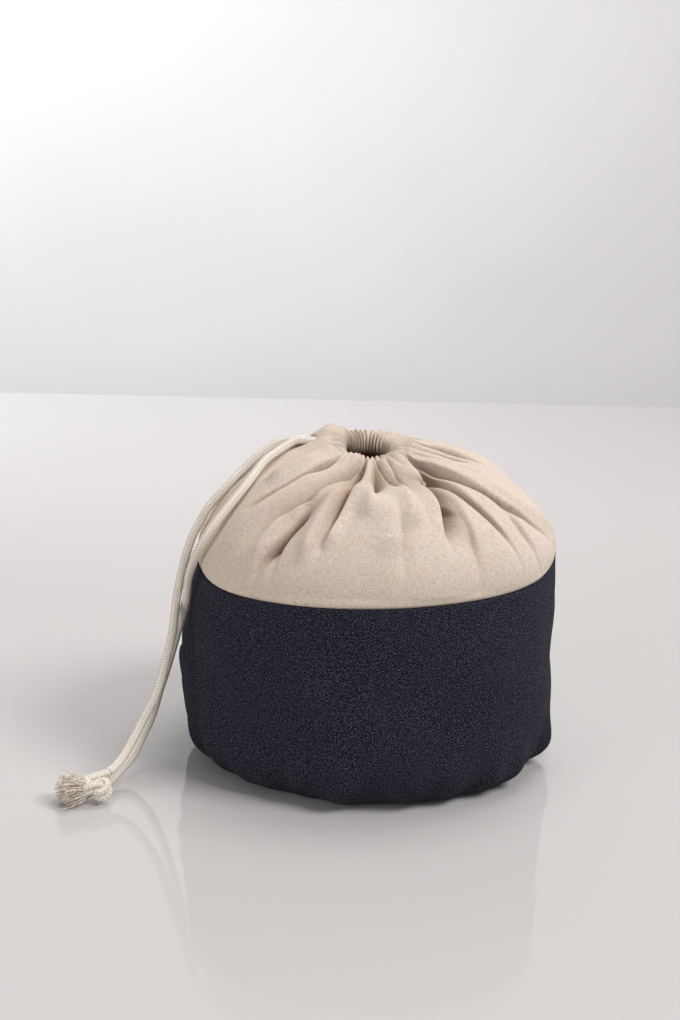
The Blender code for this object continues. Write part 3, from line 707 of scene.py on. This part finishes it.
def half_angles(front, columns):
    start = -math.pi if front else 0.0
    return np.linspace(start, start + math.pi, columns + 1)[None, :]


def apart(points, front):
    """Leaves the small gap between the two halves at the side seams."""
    points[..., 1] += -GAP / 2 if front else GAP / 2
    return points


# Materials


def wire(tree, source, target):
    tree.links.new(source, target)


def put(tree, kind, settings=(), **inputs):
    """A node, its settings and what goes into its inputs, by number or name."""
    node = tree.nodes.new(kind)
    for name, value in dict(settings).items():
        setattr(node, name, value)
    for name, value in inputs.items():
        socket = node.inputs[int(name[1:])] if name[1:].isdigit() else node.inputs[name]
        if isinstance(value, bpy.types.NodeSocket):
            wire(tree, value, socket)
        else:
            socket.default_value = value
    return node


def sums(tree, operation, first, second=0.0):
    return put(tree, "ShaderNodeMath", {"operation": operation}, i0=first, i1=second).outputs[0]


def ramp(tree, value, low, high, start=0.0, end=1.0):
    """Start below low, end above high, a straight change between."""
    node = put(tree, "ShaderNodeMapRange", (), Value=value)
    node.inputs["From Min"].default_value = low
    node.inputs["From Max"].default_value = high
    node.inputs["To Min"].default_value = start
    node.inputs["To Max"].default_value = end
    return node.outputs[0]


def noise(tree, vector, scale, detail=2.0, roughness=0.5):
    node = put(tree, "ShaderNodeTexNoise", {"noise_dimensions": "3D"}, Vector=vector, Scale=scale)
    node.inputs["Detail"].default_value = detail
    node.inputs["Roughness"].default_value = roughness
    return node.outputs[0]


def group(name, inputs, outputs):
    """An empty shader group with these sockets."""
    tree = bpy.data.node_groups.new(name, "ShaderNodeTree")
    for socket, value in inputs:
        kind = "NodeSocketVector" if value is None else "NodeSocketFloat"
        made = tree.interface.new_socket(socket, in_out="INPUT", socket_type=kind)
        if value is not None:
            made.default_value = value
    for socket in outputs:
        tree.interface.new_socket(socket, in_out="OUTPUT", socket_type="NodeSocketFloat")
    return tree, tree.nodes.new("NodeGroupInput").outputs, tree.nodes.new("NodeGroupOutput").inputs


def yarn_streaks():
    """Uneven yarns: thick and thin places that run along both thread directions."""
    tree, given, result = group(
        "yarn_streaks", (("Cloth", None), ("Length", 90.0), ("Width", 900.0)), ("Tone",)
    )
    place = put(tree, "ShaderNodeSeparateXYZ", (), Vector=given["Cloth"]).outputs
    tones = []
    for first, second in ((0, 1), (1, 0)):
        along_yarn = sums(tree, "MULTIPLY", place[first], given["Length"])
        across_yarn = sums(tree, "MULTIPLY", place[second], given["Width"])
        spot = put(tree, "ShaderNodeCombineXYZ", (), X=along_yarn, Y=across_yarn, Z=2.0 * first)
        tones.append(noise(tree, spot.outputs[0], 1.0, 1.0))
    wire(tree, sums(tree, "MULTIPLY", sums(tree, "ADD", *tones), 0.5), result["Tone"])
    return tree


def flecks():
    """Small sparse spots: husks in canvas, bare weft in denim."""
    tree, given, result = group(
        "flecks", (("Cloth", None), ("Scale", 300.0), ("Share", 0.1), ("Size", 0.4)), ("Mask",)
    )
    spots = put(tree, "ShaderNodeTexVoronoi", {"feature": "F1"}, Vector=given["Cloth"])
    wire(tree, given["Scale"], spots.inputs["Scale"])
    size = put(tree, "ShaderNodeSeparateColor", (), Color=spots.outputs["Color"]).outputs
    rare = sums(tree, "LESS_THAN", size[0], given["Share"])
    reach = sums(tree, "ADD", sums(tree, "MULTIPLY", size[1], given["Size"]), 0.04)
    near = sums(tree, "LESS_THAN", spots.outputs["Distance"], reach)
    wire(tree, sums(tree, "MULTIPLY", rare, near), result["Mask"])
    return tree


def weave(name, steps):
    """Threads over and under each other. steps is how far the twill shifts from one weft thread to
    the next, and 0 stands for plain weave."""
    tree, given, result = group(name, (("Cloth", None), ("Threads", 1700.0)), ("Height", "Warp"))
    place = put(tree, "ShaderNodeSeparateXYZ", (), Vector=given["Cloth"]).outputs
    turns = [sums(tree, "MULTIPLY", place[i], given["Threads"]) for i in (0, 1)]
    warp, weft = (
        sums(tree, "ABSOLUTE", sums(tree, "SINE", sums(tree, "MULTIPLY", turn, math.pi)))
        for turn in turns
    )
    shift = sums(tree, "ADD", turns[0], sums(tree, "MULTIPLY", turns[1], steps))
    over = sums(tree, "SINE", sums(tree, "MULTIPLY", shift, math.pi))
    if steps == 0.0:
        other = sums(tree, "SINE", sums(tree, "MULTIPLY", turns[1], math.pi))
        over = sums(tree, "MULTIPLY", over, other)
    on_top = ramp(tree, over, -0.5, 0.5)
    under = sums(tree, "SUBTRACT", 1.0, on_top)
    warp = sums(tree, "MULTIPLY", warp, on_top)
    weft = sums(tree, "MULTIPLY", weft, under)
    wire(tree, sums(tree, "ADD", warp, weft), result["Height"])
    wire(tree, on_top, result["Warp"])
    return tree


def grouped(tree, kind, **inputs):
    """A placed group with its values."""
    node = tree.nodes.new("ShaderNodeGroup")
    node.node_tree = bpy.data.node_groups[kind]
    for name, value in inputs.items():
        if isinstance(value, bpy.types.NodeSocket):
            wire(tree, value, node.inputs[name])
        else:
            node.inputs[name].default_value = value
    return node.outputs


def start_material(name, roughness, sheen):
    material = bpy.data.materials.new(name)
    material.use_nodes = True
    tree = material.node_tree
    shader = tree.nodes["Principled BSDF"]
    shader.inputs["Roughness"].default_value = roughness
    shader.inputs["Specular IOR Level"].default_value = 0.25
    shader.inputs["Sheen Weight"].default_value = sheen
    shader.inputs["Sheen Roughness"].default_value = 0.5
    return material, tree, shader


def mixed(tree, share, first, second):
    node = tree.nodes.new("ShaderNodeMix")
    node.data_type = "RGBA"
    for socket, value in ((node.inputs[0], share), (node.inputs[6], first), (node.inputs[7], second)):
        if isinstance(value, bpy.types.NodeSocket):
            wire(tree, value, socket)
        else:
            socket.default_value = value
    return node.outputs[2]


def relief(tree, shader, height, distance, strength=1.0, below=None):
    node = put(tree, "ShaderNodeBump", (), Height=height, Distance=distance, Strength=strength)
    if below is not None:
        wire(tree, below, node.inputs["Normal"])
    if shader is not None:
        wire(tree, node.outputs[0], shader.inputs["Normal"])
    return node.outputs[0]


def canvas_material():
    """Unbleached plain-weave canvas with slubs and small husks, with painted shade deep in its folds."""
    material, tree, shader = start_material("unbleached_canvas", 0.92, 0.0)
    spot = put(tree, "ShaderNodeUVMap", {"uv_map": "Cloth"}).outputs[0]
    tone = grouped(tree, "yarn_streaks", Cloth=spot, Length=330.0, Width=1700.0)["Tone"]
    body = put(tree, "ShaderNodeTexCoord").outputs["Object"]
    cloud = noise(tree, body, 55.0, 3.0)
    light = (0.720, 0.616, 0.530, 1.0)
    dark = (0.520, 0.432, 0.358, 1.0)
    colour = mixed(tree, ramp(tree, tone, 0.34, 0.64), dark, light)
    warm = (0.640, 0.530, 0.430, 1.0)
    colour = mixed(tree, ramp(tree, cloud, 0.35, 0.75, 0.0, 0.45), colour, warm)
    pale = grouped(tree, "flecks", Cloth=spot, Scale=520.0, Share=0.20, Size=0.22)["Mask"]
    colour = mixed(tree, sums(tree, "MULTIPLY", pale, 0.30), colour, (0.82, 0.74, 0.64, 1.0))
    husks = grouped(tree, "flecks", Cloth=spot, Scale=260.0, Share=0.035, Size=0.11)["Mask"]
    colour = mixed(tree, sums(tree, "MULTIPLY", husks, 0.70), colour, (0.16, 0.105, 0.065, 1.0))
    # painted shade: deep in the folds the colour is darkened to a warm brown, where shade falls
    deep = put(tree, "ShaderNodeAttribute", {"attribute_name": "Sink"}).outputs["Fac"]
    colour = mixed(tree, ramp(tree, deep, 0.0015, 0.0100, 0.0, 0.62), colour, (0.30, 0.20, 0.125, 1.0))
    wire(tree, colour, shader.inputs["Base Color"])
    shader.inputs["Subsurface Weight"].default_value = 0.30
    shader.inputs["Subsurface Radius"].default_value = (1.0, 0.62, 0.38)
    shader.inputs["Subsurface Scale"].default_value = 0.0020
    threads = grouped(tree, "plain_weave", Cloth=spot, Threads=1500.0)["Height"]
    soft = relief(tree, None, threads, 0.00012, 0.60)
    relief(tree, shader, tone, 0.00030, 0.75, soft)
    return material


def denim_material():
    """Raw indigo denim: dark warp, pale weft showing as flecks along the twill."""
    material, tree, shader = start_material("raw_denim", 0.90, 0.02)
    shader.inputs["Specular IOR Level"].default_value = 0.06
    spot = put(tree, "ShaderNodeUVMap", {"uv_map": "Cloth"}).outputs[0]
    tone = grouped(tree, "yarn_streaks", Cloth=spot, Length=260.0, Width=1500.0)["Tone"]
    twill = grouped(tree, "twill_weave", Cloth=spot, Threads=1500.0)
    body = put(tree, "ShaderNodeTexCoord").outputs["Object"]
    cloud = noise(tree, body, 28.0, 2.0)
    dark = (0.0022, 0.0020, 0.0052, 1.0)
    light = (0.0095, 0.0090, 0.0200, 1.0)
    colour = mixed(tree, ramp(tree, tone, 0.46, 0.60), dark, light)
    pale = (0.205, 0.205, 0.262, 1.0)
    mottle = noise(tree, spot, 1250.0, 2.0, 0.6)
    weft = sums(tree, "POWER", sums(tree, "SUBTRACT", 1.0, twill["Warp"]), 1.5)
    weft = sums(tree, "MULTIPLY", weft, ramp(tree, mottle, 0.43, 0.66, 0.02, 0.60))
    colour = mixed(tree, weft, colour, pale)
    colour = mixed(tree, ramp(tree, mottle, 0.56, 0.76, 0.0, 0.25), colour, pale)
    nops = grouped(tree, "flecks", Cloth=spot, Scale=120.0, Share=0.020, Size=0.02)["Mask"]
    colour = mixed(tree, nops, colour, (0.55, 0.53, 0.53, 1.0))
    worn = (0.026, 0.026, 0.040, 1.0)
    colour = mixed(tree, ramp(tree, cloud, 0.42, 0.68, 0.0, 0.30), colour, worn)
    wire(tree, colour, shader.inputs["Base Color"])
    soft = relief(tree, None, twill["Height"], 0.00018, 0.80)
    relief(tree, shader, tone, 0.00025, 0.60, soft)
    return material


def cord_material():
    """Soft cotton braid: rows of slanting stitches that meet in a zigzag, with painted shade in the grooves between
    them.
    """
    material, tree, shader = start_material("cotton_braid", 0.90, 0.10)
    spot = put(tree, "ShaderNodeUVMap", {"uv_map": "Cloth"}).outputs[0]
    place = put(tree, "ShaderNodeSeparateXYZ", (), Vector=spot).outputs
    row = sums(tree, "MULTIPLY", place[1], BRAID_STARTS / (math.pi * CORD_DIAMETER))
    zigzag = sums(tree, "PINGPONG", row, 0.5)
    lean = sums(tree, "MULTIPLY", zigzag, 1.3)
    step = sums(tree, "ADD", sums(tree, "MULTIPLY", place[0], 1 / STITCH_LENGTH), lean)
    stitch = sums(tree, "ABSOLUTE", sums(tree, "SINE", sums(tree, "MULTIPLY", step, math.pi)))
    groove = sums(tree, "ABSOLUTE", sums(tree, "SINE", sums(tree, "MULTIPLY", row, 2 * math.pi)))
    groove = sums(tree, "POWER", groove, 0.35)
    height = sums(tree, "MULTIPLY", sums(tree, "POWER", stitch, 0.6), groove)
    body = put(tree, "ShaderNodeTexCoord").outputs["Object"]
    fine = noise(tree, body, 1500.0, 2.0)
    cloud = noise(tree, body, 90.0, 2.0)
    # painted shade: the colour runs from light on the stitch tops to dark in the grooves between the stitches
    light = (0.900, 0.845, 0.775, 1.0)
    dark = (0.420, 0.360, 0.295, 1.0)
    colour = mixed(tree, ramp(tree, height, 0.10, 0.70), dark, light)
    mid = (0.720, 0.650, 0.570, 1.0)
    colour = mixed(tree, ramp(tree, fine, 0.35, 0.70, 0.0, 0.6), colour, mid)
    colour = mixed(tree, ramp(tree, cloud, 0.35, 0.75, 0.0, 0.30), colour, (0.74, 0.66, 0.57, 1.0))
    wire(tree, colour, shader.inputs["Base Color"])
    soft = relief(tree, None, fine, 0.00015, 0.5)
    relief(tree, shader, height, 0.00030, 0.8, soft)
    return material


def yarn_material():
    """Loose cotton yarn of the frayed ends."""
    material, tree, shader = start_material("frayed_cotton", 0.95, 0.15)
    body = put(tree, "ShaderNodeTexCoord").outputs["Object"]
    tuft = noise(tree, body, 420.0, 1.0)
    colour = mixed(tree, ramp(tree, tuft, 0.35, 0.65), (0.56, 0.47, 0.37, 1), (0.86, 0.80, 0.72, 1))
    wire(tree, colour, shader.inputs["Base Color"])
    return material


# Cords


def smooth_path(points, spacing):
    """Points at an even spacing on a smooth curve through the given ones."""
    knots = [Vector(point) for point in points]
    knots = [2 * knots[0] - knots[1], *knots, 2 * knots[-1] - knots[-2]]
    fine = []
    for before, start, end, after in zip(knots, knots[1:], knots[2:], knots[3:]):
        for step in range(16):
            t = step / 16
            fine.append(
                0.5
                * (
                    2 * start
                    + (end - before) * t
                    + (2 * before - 5 * start + 4 * end - after) * t**2
                    + (3 * start - before - 3 * end + after) * t**3
                )
            )
    fine.append(knots[-2])
    lengths = np.array([(b - a).length for a, b in zip(fine, fine[1:])])
    run = np.concatenate(([0.0], np.cumsum(lengths)))
    count = max(2, round(run[-1] / spacing) + 1)
    places = np.linspace(0.0, run[-1], count)
    axes = np.array([list(point) for point in fine]).T
    return np.column_stack([np.interp(places, run, axis) for axis in axes])


def settle(points, passes):
    """Rounds a path's small corners and keeps its ends."""
    points = points.copy()
    for _ in range(passes):
        points[1:-1] = 0.25 * points[:-2] + 0.5 * points[1:-1] + 0.25 * points[2:]
    return points


def ring_frames(points):
    """Two unit vectors across the path at each of its points, without twist along it."""
    run = np.gradient(points, axis=0)
    run /= np.linalg.norm(run, axis=1)[:, None]
    side = Vector(run[0]).orthogonal().normalized()
    sides = []
    for direction in run:
        direction = Vector(direction)
        side = (side - direction * side.dot(direction)).normalized()
        sides.append(side)
    sides = np.array(sides)
    return sides, np.cross(run, sides)


def braided(name, points, material, radius=CORD_DIAMETER / 2):
    """A braided cord along a fine path: stitches in two slanting families that cross."""
    side, other = ring_frames(points)
    run = np.concatenate(([0.0], np.cumsum(np.linalg.norm(np.diff(points, axis=0), axis=1))))
    around = np.linspace(0.0, 2.0 * math.pi, CORD_SIDES + 1)[None, :]
    slant = run[:, None] / STITCH_LENGTH * math.pi
    left = np.sin(slant + BRAID_STARTS * around)
    right = np.sin(slant - BRAID_STARTS * around)
    swell = 0.06 * np.abs(left) ** 0.8 * np.where(left * right > 0, 1.0, 0.5) - 0.04
    reach = radius * (1.0 + swell)
    reach = np.vstack((0 * reach[:1], 0.7 * reach[:1], reach, 0.7 * reach[-1:], 0 * reach[-1:]))
    ring = np.concatenate(([0, 0], np.arange(len(points)), [len(points) - 1] * 2))
    spread = reach[..., None] * (
        np.cos(around)[..., None] * side[ring, None] + np.sin(around)[..., None] * other[ring, None]
    )
    uv = np.stack(np.broadcast_arrays(run[ring, None], radius * around), axis=-1)
    piece = cloth(name, points[ring, None] + spread, uv, closed=True)
    piece.data.materials.append(material)
    return piece


def exit_frame():
    """Where the exit starts on the ring."""
    return Vector(place_top(EXIT_ANGLE, RING_RADIUS, RING_HEIGHT))


def exit_point(out_by, across_by):
    """A point this far out of the ring and beside the exit's middle."""
    start = exit_frame()
    return start + Vector((-out_by, -across_by, 0.0))


def slot_share(spots):
    """How far from the middle of the cord's slot points lie: under 1 is inside the slot."""
    start = np.array(exit_frame())
    out, across, up = ((spots - start) * (-1, -1, 1)).T
    share = np.hypot(across / EXIT_HALF_WIDTH, up / EXIT_HALF_HEIGHT)
    return np.where((out > EXIT_CUT_START) & (out < EXIT_CUT_END), share, 9.0)


def casing_path():
    """The cord's way round inside the casing, from one strand's end to the other's."""
    points = [exit_point(EXIT_RUN - back, STRAND_OFFSET) for back in (JOINT_IN, JOINT_IN + 0.001)]
    for share in np.linspace(0.0, 1.0, 27):
        angle = EXIT_ANGLE + RUN_TURN_IN + 2 * (math.pi - RUN_TURN_IN) * share
        points.append(Vector(place_top(angle, RING_RADIUS, RING_HEIGHT)))
    ends = (JOINT_IN + 0.001, JOINT_IN)
    points.extend(exit_point(EXIT_RUN - back, -STRAND_OFFSET) for back in ends)
    return settle(smooth_path(points, 0.0005), 12)


def strand_path(side, route):
    """A strand's way from under the casing, straight out of its slot and down along its route."""
    runs = (GAP - JOINT_IN, GAP, GAP + STRAND_OUT / 2, GAP + STRAND_OUT)
    points = [exit_point(EXIT_RUN + run, side) for run in runs]
    points.extend(route)
    return settle(smooth_path(points, 0.00030), 60)


def knot_place():
    """Turns +X to the knot's heading and moves the origin to its centre."""
    return Matrix.Translation(KNOT_CENTRE) @ Matrix.Rotation(KNOT_HEADING, 4, "Z")


def knot_path(offset, route):
    """One of the two cords in the overhand knot, from the end of its strand on. offset is its place
    beside the other cord."""
    points = []
    unit = 0.00172
    for share in np.linspace(0.0, 1.0, 40):
        turn = math.pi + 2 * math.pi * share
        across = math.sin(turn) + 2 * math.sin(2 * turn)
        aside = math.cos(turn) - 2 * math.cos(2 * turn)
        deep = -math.sin(3 * turn)
        lean = math.pi * share
        points.append(
            Vector(
                (
                    0.0016 + unit * across * 1.25 + offset * math.cos(lean) * 0.6,
                    unit * (aside + 0.7) + offset * math.sin(lean) * 0.4,
                    unit * 1.25 * deep + offset,
                )
            )
        )
    end, before_end = Vector(route[-1]), Vector(route[-2])
    onward = (end - before_end).normalized()
    before = [end + onward * GAP, end + onward * 0.0012]
    last = points[-1]
    after = [last + Vector((0.0045 * k, 0.0012 * k, -0.0006 * k)) for k in (1, 2)]
    inside = [knot_place() @ point for point in (*points[3:-1], *after)]
    return settle(smooth_path([*before, *inside], 0.00030), 30)


def knotted(name, material):
    ways = ((-0.0017, INNER_ROUTE), (0.0017, OUTER_ROUTE))
    parts = [braided(name, knot_path(side, route), material, 0.0020) for side, route in ways]
    bm = bmesh.new()
    for part in parts:
        bm.from_mesh(part.data)
        bpy.data.objects.remove(part)
    mesh = bpy.data.meshes.new(name)
    bm.to_mesh(mesh)
    bm.free()
    mesh.materials.append(material)
    mesh.shade_smooth()
    return show(name, mesh)


def frayed(name, material):
    """The yarns of both cord ends, spread like a brush behind the knot, and a few wisps."""
    chance = np.random.default_rng(7)
    curve = bpy.data.curves.new(name, "CURVE")
    curve.dimensions = "3D"
    curve.bevel_depth = YARN_RADIUS
    curve.bevel_resolution = 0
    curve.use_fill_caps = True
    place = knot_place()
    for yarn in range(YARNS):
        wisp = yarn % 9 == 0
        turn = chance.uniform(0, 2 * math.pi)
        far = math.sqrt(chance.uniform(0, 1)) * (1.35 if wisp else 1.0)
        length = chance.uniform(0.0085, 0.0165) + 0.0015 * wisp
        spread = chance.uniform(0.5, 1.25)
        curl = chance.uniform(-1, 1, 2) * (0.0030 if wisp else 0.0016)
        bend = chance.uniform(2.0, 5.5)
        spline = curve.splines.new("POLY")
        spline.points.add(8)
        for step in range(9):
            share = step / 8
            flare = far * (0.0036 + 0.0064 * spread * share**0.7)
            along_ends = KNOT_LENGTH / 2 - 0.0045 + length * (share - 0.12 * far * share**2)
            y = flare * math.cos(turn) + curl[0] * math.sin(bend * share)
            z = flare * math.sin(turn) * 0.88 + curl[1] * math.sin((7 - bend) * share) - 0.0004
            spot = place @ Vector((along_ends, y, z))
            spot.z = max(spot.z, 0.0004)
            spline.points[step].co = (*spot, 1.0)
            spline.points[step].radius = (0.55 if wisp else 1.0) * (1.0 - 0.45 * share)
    source = show(name, curve)
    mesh = bpy.data.meshes.new_from_object(source.evaluated_get(bpy.context.evaluated_depsgraph_get()))
    bpy.data.objects.remove(source)
    mesh.name = name
    mesh.materials.clear()
    mesh.materials.append(material)
    mesh.shade_smooth()
    return show(name, mesh)


def base_cloth(material):
    """The round base, a flat disc of denim that the wall is sewn to."""
    bm = bmesh.new()
    edge = BASE_RADIUS - GAP
    bmesh.ops.create_cone(
        bm,
        cap_ends=True,
        cap_tris=False,
        segments=180,
        radius1=edge,
        radius2=edge,
        depth=DENIM_THICKNESS,
    )
    bmesh.ops.translate(bm, verts=bm.verts, vec=(0, 0, DENIM_THICKNESS / 2))
    caps = [face for face in bm.faces if len(face.verts) > 4]
    bmesh.ops.inset_region(bm, faces=caps, thickness=0.0040, use_even_offset=True)
    mesh = bpy.data.meshes.new("denim_base_disc")
    bm.to_mesh(mesh)
    bm.free()
    place = np.empty(len(mesh.vertices) * 3)
    mesh.vertices.foreach_get("co", place)
    corner = np.empty(len(mesh.loops), int)
    mesh.loops.foreach_get("vertex_index", corner)
    layer = mesh.uv_layers.new(name="Cloth")
    layer.uv.foreach_set("vector", place.reshape(-1, 3)[corner][:, :2].ravel())
    mesh.materials.append(material)
    return show("denim_base_disc", mesh)


def camera():
    """The photograph's view, fitted to the pouch's outline and the knot on the floor."""
    lens = bpy.data.cameras.new("camera")
    lens.sensor_fit = "AUTO"
    lens.sensor_width = 36.0
    lens.lens = 54.7
    seen = bpy.data.objects.new("camera", lens)
    bpy.context.scene.collection.objects.link(seen)
    down = Matrix.Rotation(math.radians(90 - 12.12), 4, "X") @ Matrix.Rotation(math.radians(2.0), 4, "Z")
    seen.matrix_world = Matrix.Translation((-0.0177, -0.7942, 0.3004)) @ down
    bpy.context.scene.camera = seen


def area_light(name, place, aim, size, power, colour):
    data = bpy.data.lights.new(name, "AREA")
    data.shape = "RECTANGLE"
    data.size, data.size_y = size
    data.energy = power
    data.color = colour
    lamp = bpy.data.objects.new(name, data)
    bpy.context.scene.collection.objects.link(lamp)
    lamp.location = place
    lamp.rotation_euler = (Vector(aim) - Vector(place)).to_track_quat("-Z", "Y").to_euler()


def studio():
    """A pale glossy table in front of a pale backdrop, in soft light mostly from the right."""
    bm = bmesh.new()
    bmesh.ops.create_grid(bm, x_segments=1, y_segments=1, size=3.0)
    bmesh.ops.translate(bm, verts=bm.verts, vec=(0, -1.677, 0))
    bmesh.ops.rotate(bm, verts=bm.verts, matrix=Matrix.Rotation(math.radians(5.2), 3, "Z"))
    mesh = bpy.data.meshes.new("floor")
    bm.to_mesh(mesh)
    bm.free()
    floor = show("floor", mesh)
    material, tree, shader = start_material("pale_table", 0.05, 0.0)
    body = put(tree, "ShaderNodeTexCoord").outputs["Object"]
    haze = ramp(tree, noise(tree, body, 3.0), 0.3, 0.7, 0.04, 0.07)
    wire(tree, haze, shader.inputs["Roughness"])
    shader.inputs["Specular IOR Level"].default_value = 0.20
    shader.inputs["Base Color"].default_value = (0.560, 0.548, 0.548, 1.0)
    mesh.materials.append(material)
    bm = bmesh.new()
    bmesh.ops.create_grid(bm, x_segments=1, y_segments=1, size=4.0)
    bmesh.ops.rotate(bm, verts=bm.verts, matrix=Matrix.Rotation(math.radians(90), 3, "X"))
    bmesh.ops.translate(bm, verts=bm.verts, vec=(0, 2.4, 0))
    mesh = bpy.data.meshes.new("backdrop")
    bm.to_mesh(mesh)
    bm.free()
    wall = show("backdrop", mesh)
    material, tree, shader = start_material("pale_backdrop", 0.95, 0.0)
    body = put(tree, "ShaderNodeTexCoord").outputs["Object"]
    paper = ramp(tree, noise(tree, body, 2.0), 0.3, 0.7)
    colour = mixed(tree, paper, (0.80, 0.79, 0.79, 1.0), (0.84, 0.83, 0.83, 1.0))
    wire(tree, colour, shader.inputs["Base Color"])
    mesh.materials.append(material)
    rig.stage(floor, wall)
    world = bpy.data.worlds.new("studio")
    world.use_nodes = True
    world.node_tree.nodes["Background"].inputs[0].default_value = (1.0, 0.972, 0.955, 1.0)
    world.node_tree.nodes["Background"].inputs[1].default_value = 0.305
    bpy.context.scene.world = world
    for lamp in (
        ("key", (1.36, -0.72, 1.68), (0, 0, 0.08), (0.9, 0.9), 34.5, (1.0, 0.987, 0.972)),
        ("top", (0.35, 0.40, 1.90), (0, 0, 0.08), (0.8, 0.8), 14.0, (1.0, 0.99, 0.98)),
        ("fill", (-1.20, -1.05, 0.38), (0, 0, 0.12), (0.9, 0.6), 8.0, (1.0, 0.98, 0.96)),
        ("backdrop_light", (-1.1, 0.7, 1.3), (-0.9, 2.4, 0.9), (0.8, 0.8), 32.0, (0.985, 0.99, 1.0)),
    ):
        area_light(*lamp)
    bpy.context.scene.view_settings.view_transform = "Standard"


def dress(piece, material, slot, *nodes):
    """Gives a piece its material and says which CAD nodes it stands for."""
    if material is not None:
        piece.data.materials.clear()
        piece.data.materials.append(material)
    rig.ride(piece, "root")
    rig.replaces(piece, *nodes)
    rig.slot(piece, slot)
    return piece


def length_of(points):
    return float(np.linalg.norm(np.diff(points, axis=0), axis=1).sum())


def make_pouch():
    yarn_streaks()
    flecks()
    weave("plain_weave", 0.0)
    weave("twill_weave", 0.8)
    cotton = cord_material()

    in_casing = braided("cord_in_casing", casing_path(), cotton)
    dress(in_casing, None, "cotton_cord", "drawstring_casing_run")
    strands = []
    for name, side, route in (
        ("inner", STRAND_OFFSET, INNER_ROUTE),
        ("outer", -STRAND_OFFSET, OUTER_ROUTE),
    ):
        path = strand_path(side, route)
        piece = braided("cord_" + name, path, cotton)
        strands.append((dress(piece, None, "cotton_cord", f"drawstring_{name}_strand"), path))
    knot = dress(knotted("cord_knot", cotton), None, "cotton_cord", "drawstring_knot")
    brush = frayed("cord_frayed_yarns", yarn_material())
    dress(brush, None, "cotton_cord", "drawstring_frayed_ends")
    for piece, path in strands:
        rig.cord(
            piece,
            exit=path[0],
            length=length_of(path),
            diameter=CORD_DIAMETER,
            far_end="knot",
            stiffness="limp",
            lay="loose",
            path=path,
            with_pieces=[knot, brush],
        )

    denim = denim_material()
    section = denim_section()
    heights = along(section)[:, None]
    for front in (True, False):
        word = "front" if front else "back"
        angle = half_angles(front, DENIM_COLUMNS)
        points = apart(denim_points(angle, section), front)
        uv = np.stack(np.broadcast_arrays(BODY_RADIUS * angle, heights), axis=-1)
        piece = cloth(f"denim_{word}", points, uv)
        thicken(piece, DENIM_THICKNESS)
        dress(piece, denim, "denim", f"denim_{word}_panel")
        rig.sheet(piece, flat=(math.pi * BODY_RADIUS, heights[-1, 0] + 0.02), held="stretched")
    base = dress(base_cloth(denim), None, "denim", "denim_base")
    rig.sheet(
        base,
        flat=(2 * BASE_RADIUS, 2 * BASE_RADIUS),
        held="laid",
        area=math.pi * BASE_RADIUS**2,
    )

    canvas = canvas_material()
    section = canvas_section()
    heights = along(section)[:, None]
    for front in (True, False):
        word = "front" if front else "back"
        angle = fold_angles(front, CANVAS_COLUMNS, section[:, 0])
        points = apart(canvas_points(angle, section), front)
        uv = np.stack(np.broadcast_arrays(BODY_RADIUS * angle, heights), axis=-1)
        radius = np.maximum(section[:, 0], RING_RADIUS)[:, None]
        # how deep each point lies in a fold, which darkens the canvas colour as painted shade
        sink = np.clip(section[:, 4], 0, 1)[:, None] * folds(angle, radius)[0]
        piece = cloth(f"canvas_{word}", points, uv, sink, slotted=True)
        thicken(piece, CANVAS_THICKNESS)
        dress(piece, canvas, "canvas", f"canvas_{word}_panel")
        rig.sheet(
            piece,
            flat=(math.pi * BODY_RADIUS, heights[-1, 0]),
            held="gathered",
            rests_on=["cord_in_casing"],
        )


camera()
make_pouch()
studio()
with open("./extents.json", "w") as sizes:
    json.dump({"cad": [list(map(float, p)) for p in cad_box], "visual": [list(map(float, p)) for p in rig.bounds()]}, sizes)
